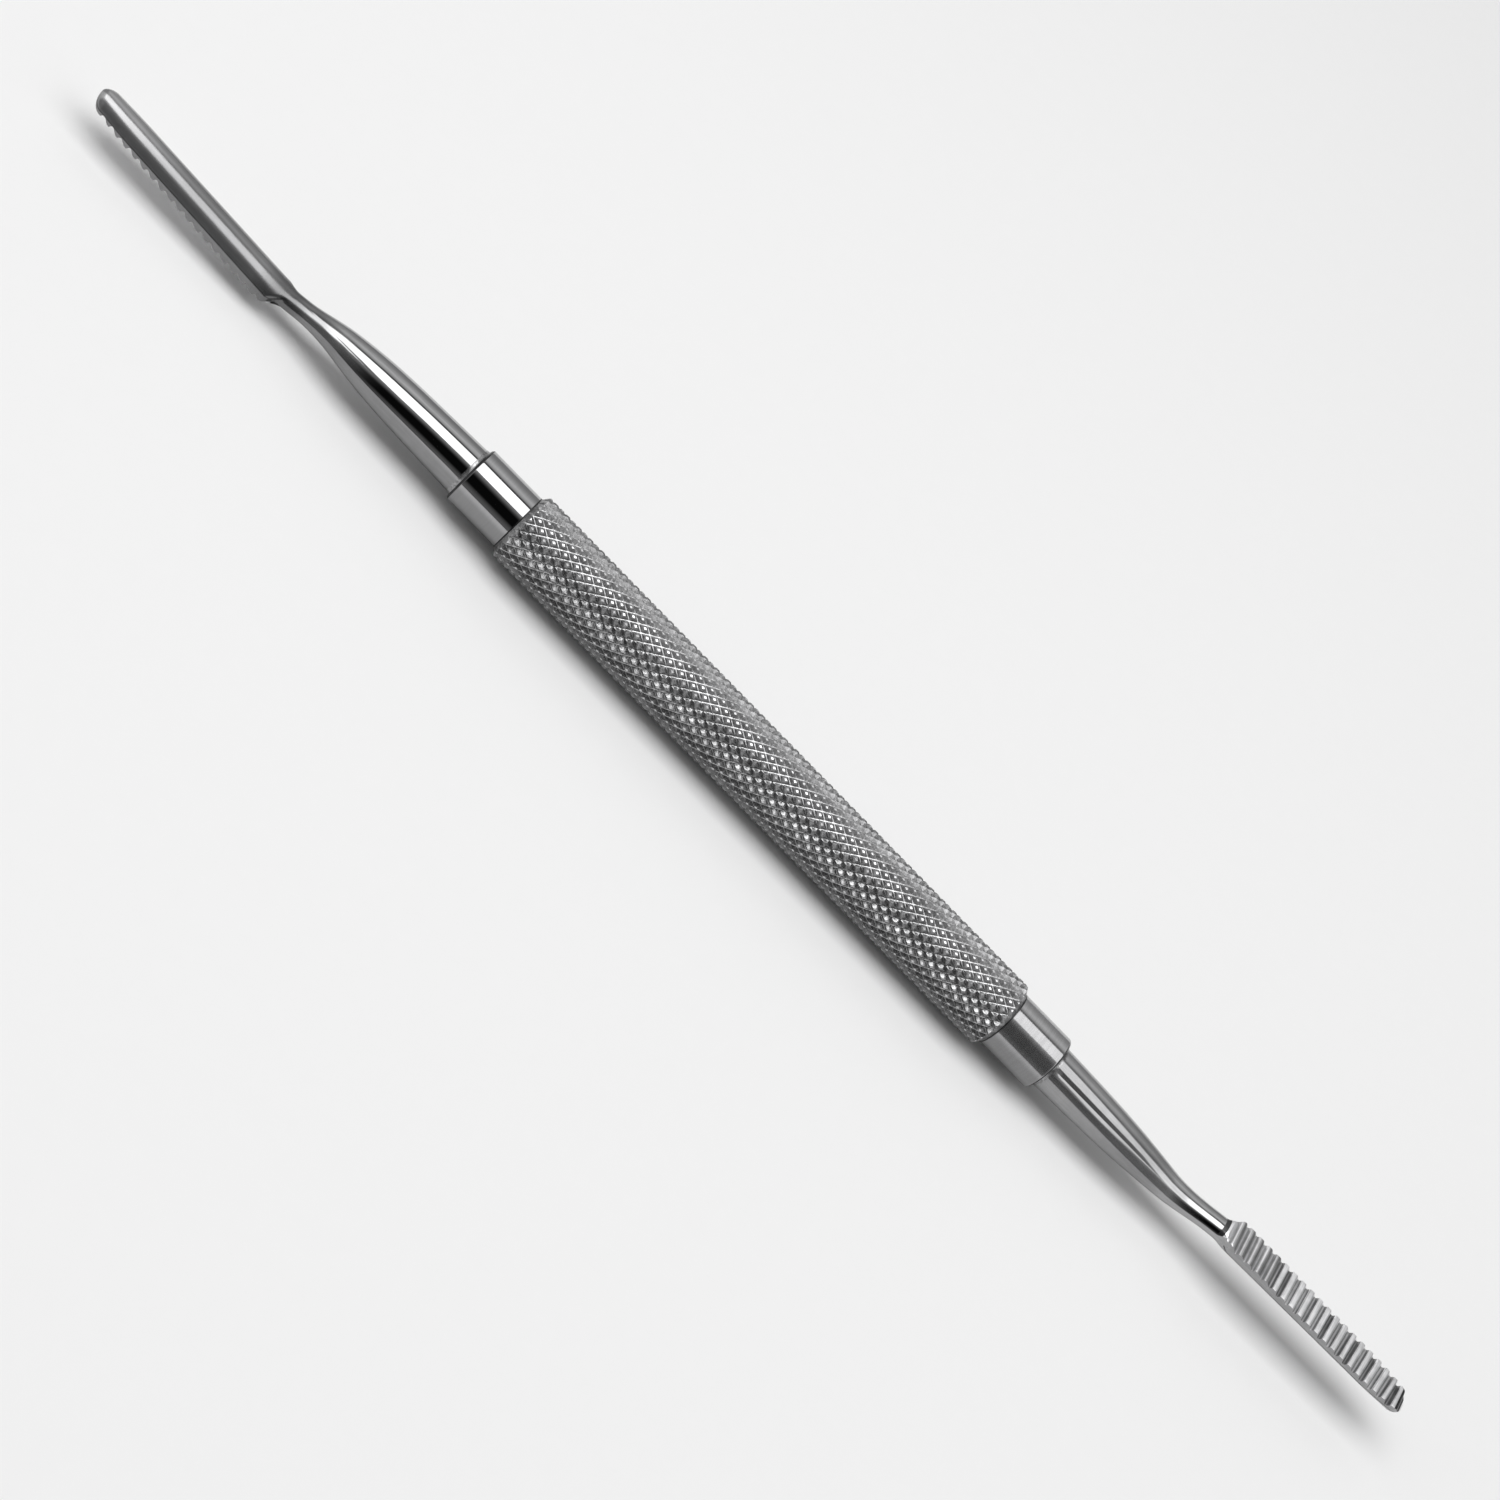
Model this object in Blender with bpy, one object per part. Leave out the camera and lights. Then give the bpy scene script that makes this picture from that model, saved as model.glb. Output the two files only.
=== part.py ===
"""Double-ended bone file: a knurled handle with a toothed blade at each end.

Lengths are in metres, +Z is up and +X runs along the handle to the right-hand blade. The file lies
on its knurl, so the origin is under the middle of the handle at the height of the table. The
right-hand blade has its teeth up and the left-hand blade has its teeth down.
"""

from dataclasses import dataclass
import math

import bmesh
import bpy

MM = 0.001

# Handle: one turned bar
KNURL_RADIUS = 3.88 * MM
KNURL_LENGTH = 66.6 * MM
KNURL_PITCH = 1.56 * MM
KNURL_DEPTH = 0.30 * MM
KNURL_STARTS = 23
KNURL_CHAMFER = 0.50 * MM
COLLAR_RADIUS = 3.21 * MM
COLLAR_LENGTH = 6.55 * MM
COLLAR_BEVEL = 0.35 * MM
COLLAR_BEVEL_STEPS = 3
MOUTH_LIP = 0.10 * MM
BORE_DEPTH = 12.0 * MM

# Fit of a tang in its bore
TANG_SIDE_CLEARANCE = 0.05 * MM
TANG_END_CLEARANCE = 0.30 * MM
TANG_LEAD = 0.40 * MM

# Shank and neck of a file end, measured outwards from the collar's mouth
SHANK_LENGTH = 21.6 * MM
SHANK_STRAIGHT_SHARE = 0.38
NECK_FLATTENING = 0.12
NECK_LENGTH = 3.55 * MM
CRANK_START = 16.6 * MM
CRANK_LENGTH = 9.0 * MM
SHOULDER_LENGTH = 1.2 * MM
SHOULDER_LEAD = 1.3 * MM

# Blade
BLADE_HALF_WIDTH_ROOT = 1.87 * MM
BLADE_HALF_WIDTH_TIP = 1.74 * MM
BACK_RISE = 1.12 * MM
TIP_TAPER_LENGTH = 5.0 * MM
NOSE_LENGTH = 1.25 * MM
NOSE_DEPTH = 0.95 * MM
NOSE_STEP_SETBACK = 0.86 * MM
NOSE_STEP_LENGTH = 0.40 * MM

# Teeth, with each groove drawn as (share of its half width, share of its depth)
GROOVE_FORM = (
    (-1.10, 0.06),
    (-0.80, -0.10),
    (-0.15, -0.80),
    (0.15, -1.00),
    (0.42, -0.92),
    (0.68, -0.45),
    (0.85, 0.06),
)
GROOVE_DEPTH_ROOT = 0.34 * MM
GROOVE_WIDTH_ROOT = 0.74 * MM
GROOVE_UNEVENNESS = 0.12
GROOVE_UNEVEN_TURN = 2.4
LAST_GROOVE_MARGIN = 1.7 * MM
CUTTER_OVERHANG = 1.0 * MM

# Facets
TOP_SEGMENTS = 8
BACK_SEGMENTS = 14
SHANK_STATIONS = 12
SHOULDER_STATIONS = 9
BLADE_STATIONS = 6
TIP_STATIONS = 4
NOSE_STATIONS = 5

HANDLE_HALF = KNURL_LENGTH / 2 + COLLAR_LENGTH
ROOT_REACH = SHANK_LENGTH + NECK_LENGTH
KNURL_COLUMNS = 2 * KNURL_STARTS
AXIS_HEIGHT = KNURL_RADIUS * math.cos(math.pi / KNURL_COLUMNS)
SHARP_ANGLE = math.radians(32)


@dataclass(frozen=True)
class FileEnd:
    """What differs between the two hand-finished ends."""

    name: str
    turn: float
    shank_radius: float
    shank_fullness: float
    neck_radius: float
    crest_height: float
    blade_slope: float
    wall_root: float
    wall_tip: float
    blade_length: float
    face_bow: float
    ramp_length: float
    ramp_end: float
    tip_taper: float
    nose_step: float
    tooth_pitch: float
    first_groove: float
    groove_depth_tip: float
    groove_width_tip: float
    groove_skew_root: float
    groove_skew_tip: float

    @property
    def bore_radius(self):
        """Radius of the bore that takes this end's tang."""
        return self.shank_radius + TANG_SIDE_CLEARANCE


LEFT_END = FileEnd(
    name="left_file_end",
    turn=math.pi,
    shank_radius=2.72 * MM,
    shank_fullness=2.5,
    neck_radius=1.07 * MM,
    crest_height=2.20 * MM,
    blade_slope=math.tan(math.radians(-3.6)),
    wall_root=1.05 * MM,
    wall_tip=0.98 * MM,
    blade_length=23.58 * MM,
    face_bow=0.66 * MM,
    ramp_length=2.2 * MM,
    ramp_end=0.7 * MM,
    tip_taper=0.17,
    nose_step=0.0,
    tooth_pitch=1.233 * MM,
    first_groove=0.60 * MM,
    groove_depth_tip=0.48 * MM,
    groove_width_tip=1.14 * MM,
    groove_skew_root=0.0,
    groove_skew_tip=0.0,
)
RIGHT_END = FileEnd(
    name="right_file_end",
    turn=0.0,
    shank_radius=2.44 * MM,
    shank_fullness=1.8,
    neck_radius=1.17 * MM,
    crest_height=2.42 * MM,
    blade_slope=0.0,
    wall_root=1.08 * MM,
    wall_tip=0.62 * MM,
    blade_length=24.0 * MM,
    face_bow=0.0,
    ramp_length=1.65 * MM,
    ramp_end=-0.25 * MM,
    tip_taper=0.28,
    nose_step=0.38 * MM,
    tooth_pitch=1.209 * MM,
    first_groove=-0.85 * MM,
    groove_depth_tip=0.52 * MM,
    groove_width_tip=0.88 * MM,
    groove_skew_root=-0.03,
    groove_skew_tip=0.14,
)


def blend(start, end, share):
    """Value that lies the given share of the way from start to end."""
    return start + (end - start) * share


def ease(share):
    """Share from 0 to 1 with a soft start and a soft stop."""
    share = min(max(share, 0.0), 1.0)
    return share * share * (3.0 - 2.0 * share)


def steel(name, grey, roughness):
    """Stainless steel with the given grey and roughness."""
    material = bpy.data.materials.new(name)
    material.use_nodes = True
    shader = material.node_tree.nodes["Principled BSDF"]
    shader.inputs["Base Color"].default_value = (grey, grey, grey * 1.01, 1.0)
    shader.inputs["Metallic"].default_value = 1.0
    shader.inputs["Roughness"].default_value = roughness
    return material


def new_object(name, mesh_data, material):
    """Object in the scene with closed, outward, smooth-shaded faces."""
    bmesh.ops.recalc_face_normals(mesh_data, faces=mesh_data.faces)
    mesh = bpy.data.meshes.new(name)
    mesh_data.to_mesh(mesh)
    mesh_data.free()
    mesh.shade_smooth()
    mesh.set_sharp_from_angle(angle=SHARP_ANGLE)
    mesh.materials.append(material)
    piece = bpy.data.objects.new(name, mesh)
    bpy.context.collection.objects.link(piece)
    return piece


def skin(mesh_data, rings, split_low=()):
    """Joins each ring of vertices to the next.

    A row listed in split_low is cut into triangles along each quad's lower diagonal, so that the
    grooves of the knurl run straight from crossing to crossing.
    """
    for row, (ring, following) in enumerate(zip(rings, rings[1:])):
        count = len(ring)
        for i in range(count):
            k = (i + 1) % count
            quad = (ring[i], ring[k], following[k], following[i])
            if row not in split_low:
                mesh_data.faces.new(quad)
                continue
            a, b, c, d = quad
            if radius_of(a) + radius_of(c) < radius_of(b) + radius_of(d):
                mesh_data.faces.new((a, b, c))
                mesh_data.faces.new((a, c, d))
            else:
                mesh_data.faces.new((a, b, d))
                mesh_data.faces.new((b, c, d))


def radius_of(vertex):
    """Distance of a vertex from the handle's axis."""
    return math.hypot(vertex.co.y, vertex.co.z)


def turned_ring(mesh_data, x, radii):
    """Ring of vertices about the X axis, one radius for each column.

    The columns stand half a step off straight down, so that the file rests on two of them.
    """
    ring = []
    for column, radius in enumerate(radii):
        angle = -math.pi / 2 + (column + 0.5) * 2 * math.pi / len(radii)
        ring.append(mesh_data.verts.new((x, radius * math.cos(angle), radius * math.sin(angle))))
    return ring


def collar_profile(bore_radius):
    """Points (distance from the handle's middle, radius) from the bore's floor to the knurl."""
    points = [
        (HANDLE_HALF - BORE_DEPTH, bore_radius),
        (HANDLE_HALF, bore_radius),
    ]
    lip_radius = bore_radius + MOUTH_LIP
    for step in range(COLLAR_BEVEL_STEPS + 1):
        angle = math.pi / 2 * step / COLLAR_BEVEL_STEPS
        points.append((
            HANDLE_HALF - COLLAR_BEVEL * (1 - math.cos(angle)),
            blend(lip_radius, COLLAR_RADIUS, math.sin(angle)),
        ))
    points.append((KNURL_LENGTH / 2, COLLAR_RADIUS))
    return points


def build_handle():
    """Turned bar with its knurl, two collars and a blind bore in each mouth."""
    mesh_data = bmesh.new()
    rings = []
    for distance, radius in collar_profile(LEFT_END.bore_radius):
        rings.append(turned_ring(mesh_data, -distance, [radius] * KNURL_COLUMNS))

    knurled = KNURL_LENGTH - 2 * KNURL_CHAMFER
    rows = 2 * round(knurled / KNURL_PITCH)
    first_split = len(rings) - 1
    for row in range(rows + 1):
        x = blend(-knurled / 2, knurled / 2, row / rows)
        radii = [KNURL_RADIUS - KNURL_DEPTH * ((row + column) % 2) for column in range(KNURL_COLUMNS)]
        rings.append(turned_ring(mesh_data, x, radii))
    last_split = len(rings) - 1

    for distance, radius in reversed(collar_profile(RIGHT_END.bore_radius)):
        rings.append(turned_ring(mesh_data, distance, [radius] * KNURL_COLUMNS))
    skin(mesh_data, rings, split_low=range(first_split, last_split + 1))
    mesh_data.faces.new(rings[0])
    mesh_data.faces.new(rings[-1])
    return new_object("handle", mesh_data, steel("knurled_steel", 0.42, 0.38))


def round_section(half_width, half_height):
    """Oval as (y, z) points: the top run first, then the back run."""
    points = []
    segments = TOP_SEGMENTS + BACK_SEGMENTS + 2
    for step in range(segments):
        angle = math.pi / 2 + 2 * math.pi * (TOP_SEGMENTS / 2 - step) / segments
        points.append((half_width * math.cos(angle), half_height * math.sin(angle)))
    return points


def blade_section(half_width, face, back_edge):
    """Flat face, upright walls and a round back, as (y, z) points in the order of round_section."""
    points = []
    for step in range(TOP_SEGMENTS + 1):
        points.append((blend(-half_width, half_width, step / TOP_SEGMENTS), face))
    back_radius = (half_width ** 2 + BACK_RISE ** 2) / (2 * BACK_RISE)
    reach = math.asin(min(half_width / back_radius, 1.0))
    if BACK_RISE > half_width:
        reach = math.pi - reach
    for step in range(BACK_SEGMENTS + 1):
        angle = blend(reach, -reach, step / BACK_SEGMENTS)
        drop = back_radius * (math.cos(angle) - math.cos(reach))
        points.append((back_radius * math.sin(angle), back_edge - drop))
    return points


def face_rise(end, along):
    """How far the bowed toothed face has risen towards the back at a distance along the blade."""
    return end.face_bow * (along / end.blade_length) ** 2


def crest_line(end, along):
    """Height of the tooth crests above the handle's axis at a distance along the blade."""
    return end.crest_height + end.blade_slope * along - face_rise(end, max(along, 0.0))


def shank_outline(end, reach):
    """Oval outline of the shank and neck at a distance outwards from the collar's mouth."""
    share = min(reach / SHANK_LENGTH, 1.0)
    drop = math.cos(math.pi / 2 * share ** end.shank_fullness) ** 2
    taper = blend(drop, 1 - share, SHANK_STRAIGHT_SHARE)
    radius = blend(end.neck_radius, end.shank_radius, taper)
    flat = NECK_FLATTENING * ease(share)
    crank = ease((reach - CRANK_START) / CRANK_LENGTH)
    middle = crank * (end.crest_height - (end.wall_root + BACK_RISE) / 2)
    section = round_section(radius * (1 + flat), radius * (1 - flat))
    return [(y, middle + z) for y, z in section]


def blade_outline(end, reach):
    """D-shaped outline of the blade at a distance outwards from the collar's mouth."""
    along = max(reach - ROOT_REACH, 0.0)
    share = along / end.blade_length
    back_edge = end.crest_height + end.blade_slope * along - blend(end.wall_root, end.wall_tip, share)
    near_tip = max(along - end.blade_length + TIP_TAPER_LENGTH, 0.0) / TIP_TAPER_LENGTH
    half_width = blend(BLADE_HALF_WIDTH_ROOT, BLADE_HALF_WIDTH_TIP, share)
    half_width *= 1 - end.tip_taper * near_tip ** 1.5
    nose_step = ease((along - end.blade_length + NOSE_STEP_SETBACK) / NOSE_STEP_LENGTH)
    return blade_section(half_width, crest_line(end, along) - end.nose_step * nose_step, back_edge)


def end_ring(mesh_data, end, reach, nose=1.0):
    """Ring of a file end at a distance outwards from the mouth, shrunk to the nose's share.

    The back swells into the blade a little before the sides do, and the toothed face comes up on a
    ramp of its own.
    """
    shank = shank_outline(end, reach)
    blade = blade_outline(end, reach)
    along = reach - ROOT_REACH
    ramp = ease((along - end.ramp_end) / end.ramp_length + 1)
    nose_centre = crest_line(end, along) - NOSE_DEPTH
    ring = []
    for column, ((shank_y, shank_z), (blade_y, blade_z)) in enumerate(zip(shank, blade)):
        side = blade_y / BLADE_HALF_WIDTH_ROOT
        lead = SHOULDER_LEAD * max(1 - side * side, 0.0)
        shoulder = ease((along + SHOULDER_LENGTH + lead) / SHOULDER_LENGTH)
        y = blend(shank_y, blade_y, shoulder)
        z = blend(shank_z, blade_z, ramp if column <= TOP_SEGMENTS else shoulder)
        ring.append(mesh_data.verts.new((HANDLE_HALF + reach, y * nose, blend(nose_centre, z, nose))))
    return ring


def build_groove_cutter(end):
    """Comb of bars, one for each groove of the blade.

    The side of a groove towards the handle slopes gently away from its tooth, and the far side is
    the steep cutting edge of the next one. The grooves are filed by hand, so their depth wanders.
    """
    mesh_data = bmesh.new()
    side = BLADE_HALF_WIDTH_ROOT + CUTTER_OVERHANG
    room = end.blade_length - end.first_groove - LAST_GROOVE_MARGIN
    for tooth in range(int(room / end.tooth_pitch) + 1):
        along = end.first_groove + tooth * end.tooth_pitch
        share = along / end.blade_length
        depth = blend(GROOVE_DEPTH_ROOT, end.groove_depth_tip, share)
        depth *= 1 + GROOVE_UNEVENNESS * math.sin(GROOVE_UNEVEN_TURN * tooth)
        half = blend(GROOVE_WIDTH_ROOT, end.groove_width_tip, share) / 2
        outline = [(half * across, depth * down) for across, down in GROOVE_FORM]
        outline.insert(0, (outline[0][0], CUTTER_OVERHANG))
        outline.append((outline[-1][0], CUTTER_OVERHANG))
        skew = blend(end.groove_skew_root, end.groove_skew_tip, share)
        rims = []
        for y in (-side, side):
            rim = []
            for x, z in outline:
                place = along + x + skew * y
                height = crest_line(end, place) + z
                rim.append(mesh_data.verts.new((HANDLE_HALF + ROOT_REACH + place, y, height)))
            rims.append(rim)
        skin(mesh_data, rims)
        mesh_data.faces.new(rims[0])
        mesh_data.faces.new(rims[1])
    cutter = new_object(end.name + "_groove_cutter", mesh_data, steel("cutter_grey", 0.5, 0.5))
    cutter.hide_render = True
    cutter.display_type = "WIRE"
    return cutter


def build_file_end(end):
    """Tang, shank, neck and toothed blade as one solid, with the mouth's place at HANDLE_HALF."""
    mesh_data = bmesh.new()
    tang_inner = HANDLE_HALF - BORE_DEPTH + TANG_END_CLEARANCE
    sides = TOP_SEGMENTS + BACK_SEGMENTS + 2
    rings = []
    for x, radius in (
        (tang_inner, end.shank_radius - TANG_LEAD),
        (tang_inner + TANG_LEAD, end.shank_radius),
    ):
        section = round_section(radius, radius)
        rings.append([mesh_data.verts.new((x, y, z)) for y, z in section])

    shoulder_start = ROOT_REACH - SHOULDER_LENGTH - SHOULDER_LEAD
    tip_reach = ROOT_REACH + end.blade_length
    nose_start = tip_reach - NOSE_LENGTH
    taper_start = tip_reach - TIP_TAPER_LENGTH
    reaches = [shoulder_start * i / SHANK_STATIONS for i in range(SHANK_STATIONS)]
    reaches += [blend(shoulder_start, ROOT_REACH, i / SHOULDER_STATIONS) for i in range(SHOULDER_STATIONS)]
    reaches += [blend(ROOT_REACH, taper_start, i / BLADE_STATIONS) for i in range(BLADE_STATIONS)]
    reaches += [blend(taper_start, nose_start, i / TIP_STATIONS) for i in range(TIP_STATIONS)]
    for reach in reaches:
        rings.append(end_ring(mesh_data, end, reach))
    for i in range(NOSE_STATIONS):
        angle = math.pi / 2 * i / NOSE_STATIONS
        reach = nose_start + NOSE_LENGTH * math.sin(angle)
        rings.append(end_ring(mesh_data, end, reach, nose=math.cos(angle)))
    skin(mesh_data, rings)
    mesh_data.faces.new(rings[0])
    tip_height = crest_line(end, end.blade_length) - NOSE_DEPTH
    tip = mesh_data.verts.new((HANDLE_HALF + tip_reach, 0.0, tip_height))
    last = rings[-1]
    for i in range(sides):
        mesh_data.faces.new((last[i], last[(i + 1) % sides], tip))

    body = new_object(end.name, mesh_data, steel(end.name + "_steel", 0.48, 0.22))
    cut = body.modifiers.new("file_grooves", "BOOLEAN")
    cut.operation = "DIFFERENCE"
    cut.solver = "EXACT"
    cut.object = build_groove_cutter(end)
    return body


def main():
    """Builds the handle and its two file ends about the handle's axis."""
    for old in list(bpy.data.objects):
        bpy.data.objects.remove(old, do_unlink=True)
    axis = bpy.data.objects.new("handle_axis", None)
    axis.location.z = AXIS_HEIGHT
    bpy.context.collection.objects.link(axis)

    build_handle().parent = axis
    for end in (LEFT_END, RIGHT_END):
        body = build_file_end(end)
        for piece in (body, body.modifiers["file_grooves"].object):
            piece.parent = axis
            piece.rotation_euler.y = end.turn


main()
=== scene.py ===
"""Looks of the double-ended bone file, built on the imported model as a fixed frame.

The file lies on its knurl with the right-hand teeth up and the left-hand teeth down, on a pale
table under a long overhead softbox of two lamps. Lengths are in metres, +X along the handle, +Z up.
"""

import enum
import logging
import math
from dataclasses import dataclass, field
from typing import Sequence

import bmesh
import bpy
from mathutils import Vector, Matrix


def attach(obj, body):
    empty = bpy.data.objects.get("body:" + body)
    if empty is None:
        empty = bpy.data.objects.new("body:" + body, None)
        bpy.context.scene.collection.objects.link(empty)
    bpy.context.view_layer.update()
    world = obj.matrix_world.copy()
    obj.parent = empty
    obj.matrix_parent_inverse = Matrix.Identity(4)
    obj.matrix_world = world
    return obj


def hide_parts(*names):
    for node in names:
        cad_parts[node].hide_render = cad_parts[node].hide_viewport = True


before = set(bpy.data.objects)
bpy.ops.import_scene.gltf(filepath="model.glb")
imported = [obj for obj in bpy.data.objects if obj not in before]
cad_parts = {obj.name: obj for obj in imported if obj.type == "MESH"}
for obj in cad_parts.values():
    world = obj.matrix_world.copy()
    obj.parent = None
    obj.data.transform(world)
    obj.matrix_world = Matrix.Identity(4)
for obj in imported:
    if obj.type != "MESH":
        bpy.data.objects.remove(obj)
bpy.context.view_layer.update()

MM = 0.001
LOG = logging.getLogger("bone_file")

Point2 = tuple[float, float]
Point3 = tuple[float, float, float]
Station = tuple[float, float, float, float]

STEEL_TINT: Point3 = (1.0, 1.0, 1.012)
PLAIN_TINT: Point3 = (1.0, 1.0, 1.0)
MERGE_DISTANCE = 1e-7
BEYOND_TIPS = 0.1
# Octaves of the noises that have to hold up close.
FINE_OCTAVES = 3.0
# How much each finer octave of a noise counts against the one before.
NOISE_FALLOFF = 0.55
# Numbers of the sockets that a Mix node uses for colours.
MIX_SHARE, MIX_FIRST, MIX_SECOND, MIX_RESULT = 0, 6, 7, 2


def blend(start: float, end: float, share: float) -> float:
    """Value that lies the given share of the way from start to end."""
    return start + (end - start) * share


def ease(share: float) -> float:
    """Share from 0 to 1 with a soft start and a soft stop."""
    share = min(max(share, 0.0), 1.0)
    return share * share * (3.0 - 2.0 * share)


class Grain(enum.Enum):
    """Which way the fine polishing lines run; the value scales the noise along x, y and z."""

    ALONG = (0.035, 1.0, 1.0)
    ROUND = (1.0, 0.03, 0.03)
    ACROSS = (1.0, 0.05, 1.0)
    SPECKLE = (1.0, 1.0, 1.0)


class Signal:
    """One output socket of a shader sheet, usable in Python arithmetic."""

    def __init__(self, sheet: "ShaderSheet", socket: bpy.types.NodeSocket) -> None:
        """Wraps a socket of the given sheet."""
        self.sheet = sheet
        self.socket = socket

    def _math(self, operation: str, first: object, second: object = None) -> "Signal":
        """Adds one Math node.

        Args:
            operation: The node's operation, such as ADD.
            first: The first value or signal.
            second: The second value or signal, if the operation takes one.

        Returns:
            The node's result.
        """
        inputs = {0: first} if second is None else {0: first, 1: second}
        return self.sheet.node("ShaderNodeMath", {"operation": operation}, inputs)

    def __add__(self, other: object) -> "Signal":
        """Sum."""
        return self._math("ADD", self, other)

    __radd__ = __add__

    def __sub__(self, other: object) -> "Signal":
        """Difference."""
        return self._math("SUBTRACT", self, other)

    def __rsub__(self, other: object) -> "Signal":
        """Reflected difference, for 1 - mask."""
        return self._math("SUBTRACT", other, self)

    def __mul__(self, other: object) -> "Signal":
        """Product."""
        return self._math("MULTIPLY", self, other)

    __rmul__ = __mul__

    def root(self) -> "Signal":
        """Square root."""
        return self._math("SQRT", self)

    def size(self) -> "Signal":
        """Value without its sign."""
        return self._math("ABSOLUTE", self)

    def turn(self, other: object) -> "Signal":
        """Angle whose tangent is this value over the other."""
        return self._math("ARCTAN2", self, other)

    def span(self, low: float, high: float, smooth: bool = True) -> "Signal":
        """Share from 0 at low to 1 at high, clamped.

        Args:
            low: Value that gives 0.
            high: Value that gives 1.
            smooth: Whether the ends are eased.

        Returns:
            The share.
        """
        settings = {"interpolation_type": "SMOOTHSTEP" if smooth else "LINEAR"}
        inputs = {"Value": self, "From Min": low, "From Max": high}
        return self.sheet.node("ShaderNodeMapRange", settings, inputs)


class ShaderSheet:
    """Node tree of one material or world, with one method that adds any node."""

    def __init__(self, tree: bpy.types.NodeTree) -> None:
        """Empties a node tree and takes it over."""
        tree.nodes.clear()
        self.tree = tree

    def node(
        self,
        kind: str,
        settings: dict[str, object] | None = None,
        inputs: dict[object, object] | None = None,
        output: object = 0,
    ) -> Signal:
        """Adds a node, sets it up and connects it.

        Args:
            kind: The node's type, such as ShaderNodeMath.
            settings: Attributes to set first; "stops" sets a ramp's (position, grey) stops.
            inputs: Values or signals by socket name or number.
            output: Name or number of the socket to return.

        Returns:
            The chosen output.
        """
        made = self.tree.nodes.new(kind)
        for name, value in (settings or {}).items():
            if name == "stops":
                self._set_stops(made.color_ramp, value)
            else:
                setattr(made, name, value)
        for name, value in (inputs or {}).items():
            if isinstance(value, Signal):
                self.tree.links.new(value.socket, made.inputs[name])
            else:
                made.inputs[name].default_value = value
        return Signal(self, made.outputs[output] if len(made.outputs) else made.inputs[0])

    @staticmethod
    def _set_stops(ramp: bpy.types.ColorRamp, stops: Sequence[Point2]) -> None:
        """Gives a ramp its grey stops.

        Args:
            ramp: The ramp, which starts with two stops.
            stops: Pairs of position and grey, in rising order.
        """
        middle = 0.5
        while len(ramp.elements) < len(stops):
            ramp.elements.new(middle)
        for element, (position, grey) in zip(ramp.elements, stops):
            element.position = position
            element.color = (grey, grey, grey, 1.0)

    def place(self) -> Signal:
        """Position on the piece in its own coordinates."""
        return self.node("ShaderNodeTexCoord", output="Object")

    def axis(self, vector: Signal, letter: str) -> Signal:
        """One component of a vector."""
        return self.node("ShaderNodeSeparateXYZ", None, {0: vector}, letter)

    def noise(self, where: Signal, grain: Grain, per_mm: float, detail: float = 2.0) -> Signal:
        """Noise stretched along a grain.

        Args:
            where: Position to read.
            grain: Direction in which the noise is drawn out.
            per_mm: Features in a millimetre.
            detail: Octaves of finer noise.

        Returns:
            Noise around 0.5.
        """
        scaled = self.node("ShaderNodeVectorMath", {"operation": "MULTIPLY"}, {0: where, 1: grain.value})
        settings = {"Scale": per_mm / MM, "Detail": detail, "Roughness": NOISE_FALLOFF}
        return self.node("ShaderNodeTexNoise", None, {"Vector": scaled, **settings}, "Fac")

    def grey(self, level: Signal, tint: Point3 = STEEL_TINT) -> Signal:
        """Colour of a given brightness with the metal's faint tint."""
        return self.node("ShaderNodeVectorMath", {"operation": "SCALE"}, {0: tint, "Scale": level})

    def mix(self, share: Signal, first: object, second: object, kind: str = "MIX") -> Signal:
        """Mixes two colours.

        Args:
            share: Share of the second colour.
            first: The first colour.
            second: The second colour.
            kind: The node's blend type.

        Returns:
            The mixed colour.
        """
        settings = {"data_type": "RGBA", "blend_type": kind}
        inputs = {MIX_SHARE: share, MIX_FIRST: first, MIX_SECOND: second}
        return self.node("ShaderNodeMix", settings, inputs, MIX_RESULT)

    def bump(self, height: Signal, distance: float) -> Signal:
        """Normal of a surface whose height is given in steps of the distance."""
        inputs = {"Strength": 1.0, "Distance": distance, "Height": height}
        return self.node("ShaderNodeBump", None, inputs)

    def surface(self, inputs: dict[str, object]) -> None:
        """Closes a material with one Principled shader."""
        shader = self.node("ShaderNodeBsdfPrincipled", None, inputs)
        self.node("ShaderNodeOutputMaterial", None, {"Surface": shader})

    def profile(self, along: Signal, stations: Sequence[Point2]) -> Signal:
        """Value that runs straight from station to station.

        Args:
            along: Distance to read.
            stations: Pairs of distance and value, in rising order.

        Returns:
            The value at that distance.
        """
        low, high = stations[0][0], stations[-1][0]
        stops = [((spot - low) / (high - low), value) for spot, value in stations]
        share = along.span(low, high, smooth=False)
        return self.node("ShaderNodeValToRGB", {"stops": stops}, {"Fac": share})


def new_material(name: str) -> tuple[bpy.types.Material, ShaderSheet]:
    """Makes an empty material.

    Args:
        name: The material's name.

    Returns:
        The material and its node sheet.
    """
    material = bpy.data.materials.new(name)
    material.use_nodes = True
    return material, ShaderSheet(material.node_tree)


@dataclass(frozen=True)
class UnderShade:
    """Painted shade: a duller tone on what lies low, towards the table."""

    tone: float
    low: float
    high: float

    def share(self, sheet: ShaderSheet, place: Signal) -> Signal:
        """Tone at a place, 1 above the high mark.

        Args:
            sheet: The material's node sheet.
            place: Position on the piece.

        Returns:
            The tone.
        """
        raised = sheet.axis(place, "Z").span(self.low, self.high)
        return raised * (1.0 - self.tone) + self.tone


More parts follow.
